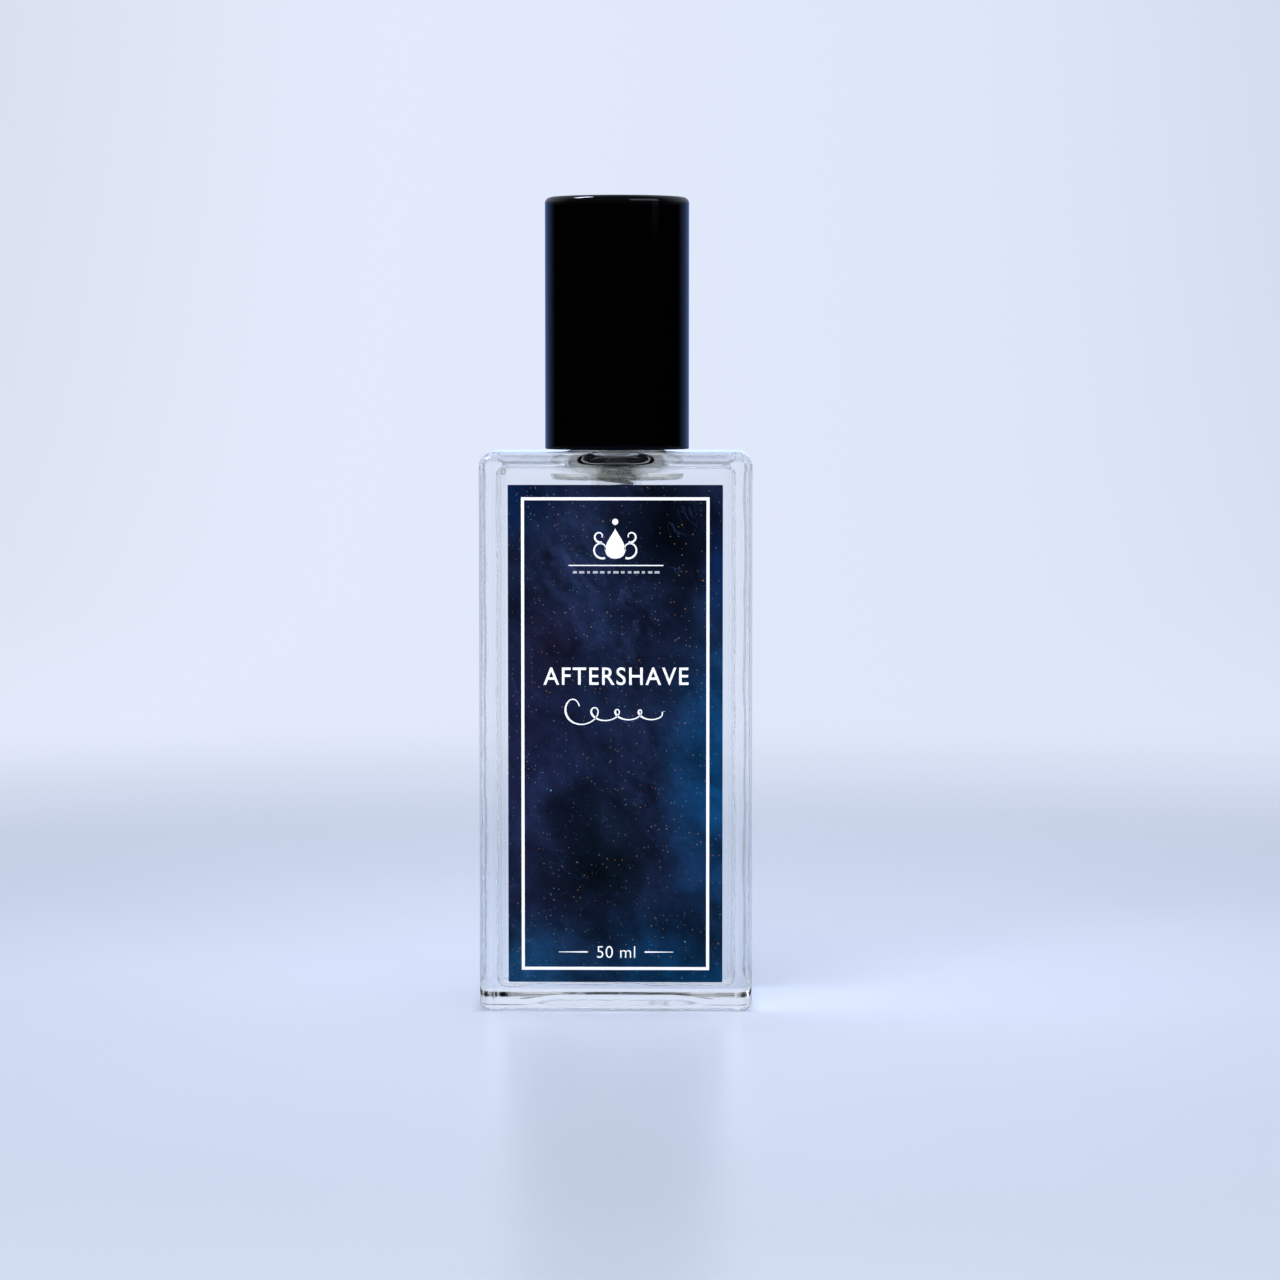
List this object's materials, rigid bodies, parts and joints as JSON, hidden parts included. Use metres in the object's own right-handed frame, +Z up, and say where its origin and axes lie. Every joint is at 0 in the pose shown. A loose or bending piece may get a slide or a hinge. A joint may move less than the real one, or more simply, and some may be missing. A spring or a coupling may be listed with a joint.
{
  "type": "spray bottle",
  "caption": "Rectangular glass fragrance spray bottle with a front label, a crimped pump, a press button in a black collar and a glossy cylindrical pull-off cap.",
  "frame": {"origin": "centre of the bottle's footprint, on the plane it rests on", "axes": "+Z up through the pump and the cap, the label faces -Y, and +X is to the right of a person who looks at the label"},
  "size_m": [0.04, 0.0251, 0.1195],
  "materials": {
    "clear_glass": "gloss",
    "fragrance": "gloss",
    "label_film": "satin",
    "black_gloss": "gloss",
    "black_collar": "satin",
    "black_button": "satin",
    "black_liner": "matte",
    "silver_ferrule": "satin",
    "pump_plastic": "satin",
    "clear_tube": "satin",
    "seal_rubber": "matte",
    "spring_steel": "satin"
  },
  "bodies": {
    "bottle": {"glass_bottle": "clear_glass", "fragrance_liquid": "fragrance", "front_label": "label_film", "neck_gasket": "seal_rubber", "crimp_ferrule": "silver_ferrule", "pump_housing": "pump_plastic", "turret": "pump_plastic", "stem_gasket": "seal_rubber", "main_spring": "spring_steel", "dip_tube": "clear_tube", "collar_shell": "black_collar", "collar_core": "black_liner"},
    "plunger": {"stem": "pump_plastic", "piston_spring": "spring_steel"},
    "piston": {"piston": "pump_plastic"},
    "actuator": {"actuator_button": "black_button", "nozzle_insert": "pump_plastic"},
    "inlet_valve": {"inlet_ball": "spring_steel"},
    "cap": {"cap_shell": "black_gloss", "cap_liner": "black_liner"}
  },
  "joints": [
    {"name": "cap_lift", "type": "slide", "parent": "bottle", "child": "cap", "axis": [0, 0, 1], "range_m": [0, 0.04]},
    {"name": "actuator_press", "type": "slide", "parent": "bottle", "child": "plunger", "axis": [0, 0, -1], "range_m": [0, 0.0045], "stiffness_N_per_m": 1500, "springref_m": -0.003, "deforming": ["main_spring"]},
    {"name": "actuator_turn", "type": "hinge", "parent": "plunger", "child": "actuator", "pos_m": [0, 0, 0.105], "axis": [0, 0, 1], "continuous": true},
    {"name": "piston_slip", "type": "slide", "parent": "plunger", "child": "piston", "axis": [0, 0, 1], "range_m": [0, 0.0008], "stiffness_N_per_m": 2500, "springref_m": -0.0008, "deforming": ["piston_spring"]},
    {"name": "ball_lift", "type": "slide", "parent": "bottle", "child": "inlet_valve", "axis": [0, 0, 1], "range_m": [0, 0.0008]}
  ]
}
